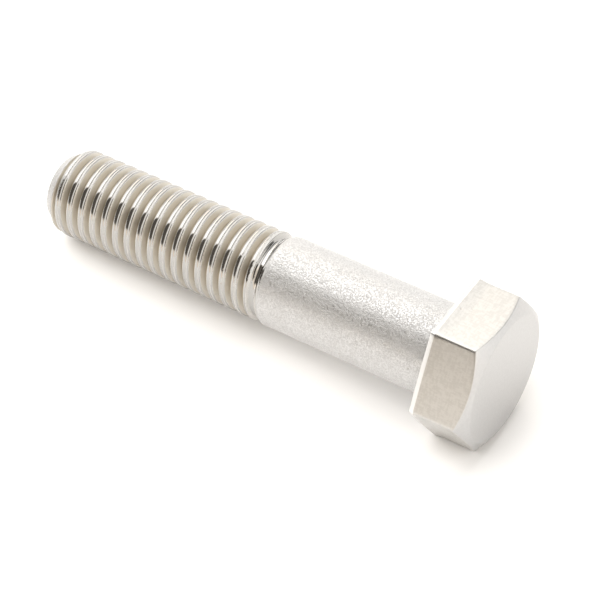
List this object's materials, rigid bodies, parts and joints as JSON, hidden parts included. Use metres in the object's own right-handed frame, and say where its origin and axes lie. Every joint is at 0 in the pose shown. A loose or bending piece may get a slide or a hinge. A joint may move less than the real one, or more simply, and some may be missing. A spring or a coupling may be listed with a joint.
{
  "type": "hex bolt",
  "caption": "Hexagon head bolt with a plain shank, a rolled right-hand thread on its far half and a chamfered tip.",
  "frame": {"origin": "centre of the head's bearing face, on the bolt's axis", "axes": "X along the bolt: the head stands on +X, the shank and thread run to -X. Two opposite flats face +Z and -Z, and two corners point along +Y and -Y."},
  "size_m": [0.0697, 0.0224, 0.0194],
  "materials": {
    "steel": "satin stainless steel, burnished on the thread's crests"
  },
  "bodies": {
    "root": {"hex_bolt": "steel"}
  },
  "joints": []
}
